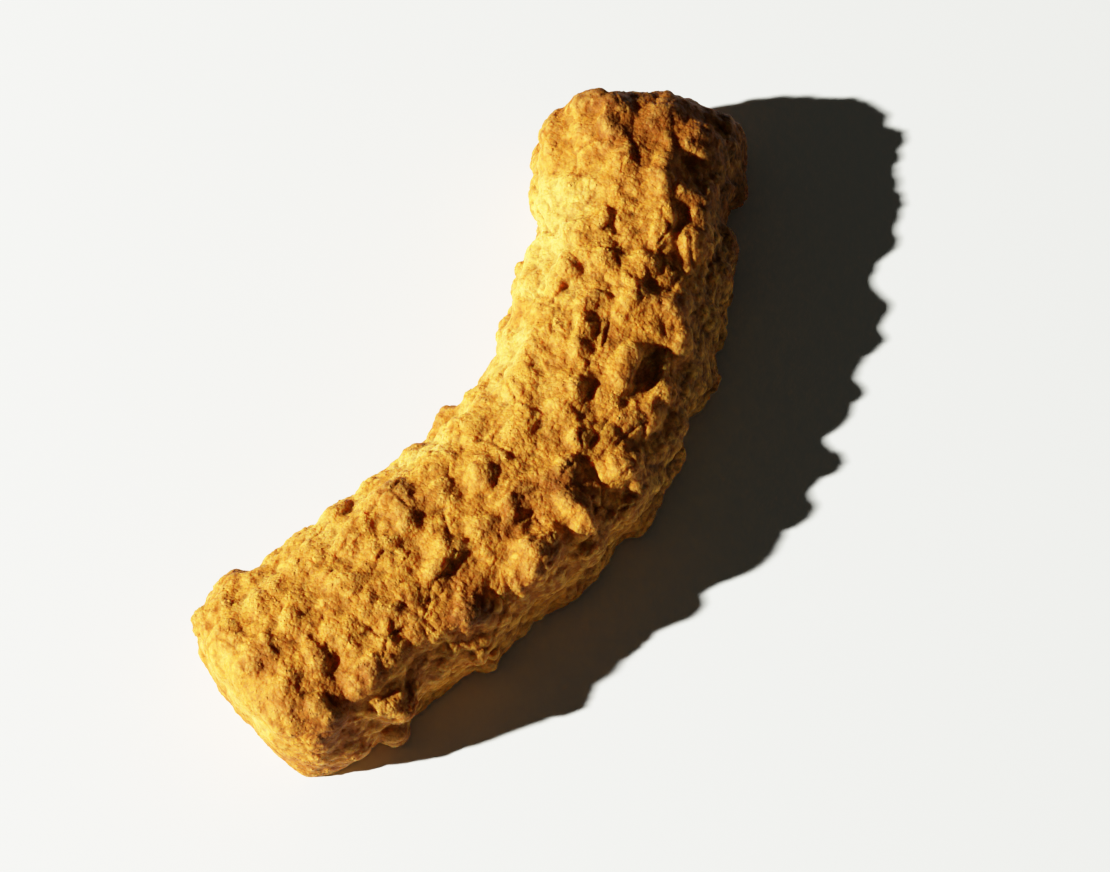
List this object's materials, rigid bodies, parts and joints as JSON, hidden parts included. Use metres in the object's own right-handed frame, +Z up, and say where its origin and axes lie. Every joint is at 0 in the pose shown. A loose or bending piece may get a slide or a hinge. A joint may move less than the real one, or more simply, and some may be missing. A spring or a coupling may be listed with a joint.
{
  "type": "cornmeal cookie",
  "caption": "Bent bar-shaped cornmeal cookie with rounded ends, a ridged and craggy golden-brown crust and a flat underside, eaten by hand.",
  "frame": {"origin": "middle of the bounding box, at the level of the flat underside", "axes": "+X along the chord from the near end to the far end, +Y towards the hollow of the bend, +Z up from the tray"},
  "size_m": [0.0776, 0.0314, 0.0122],
  "materials": {
    "crust": "matte baked cornmeal crumb, golden yellow with browned crags"
  },
  "bodies": {
    "root": {"cookie": "crust"}
  },
  "joints": []
}
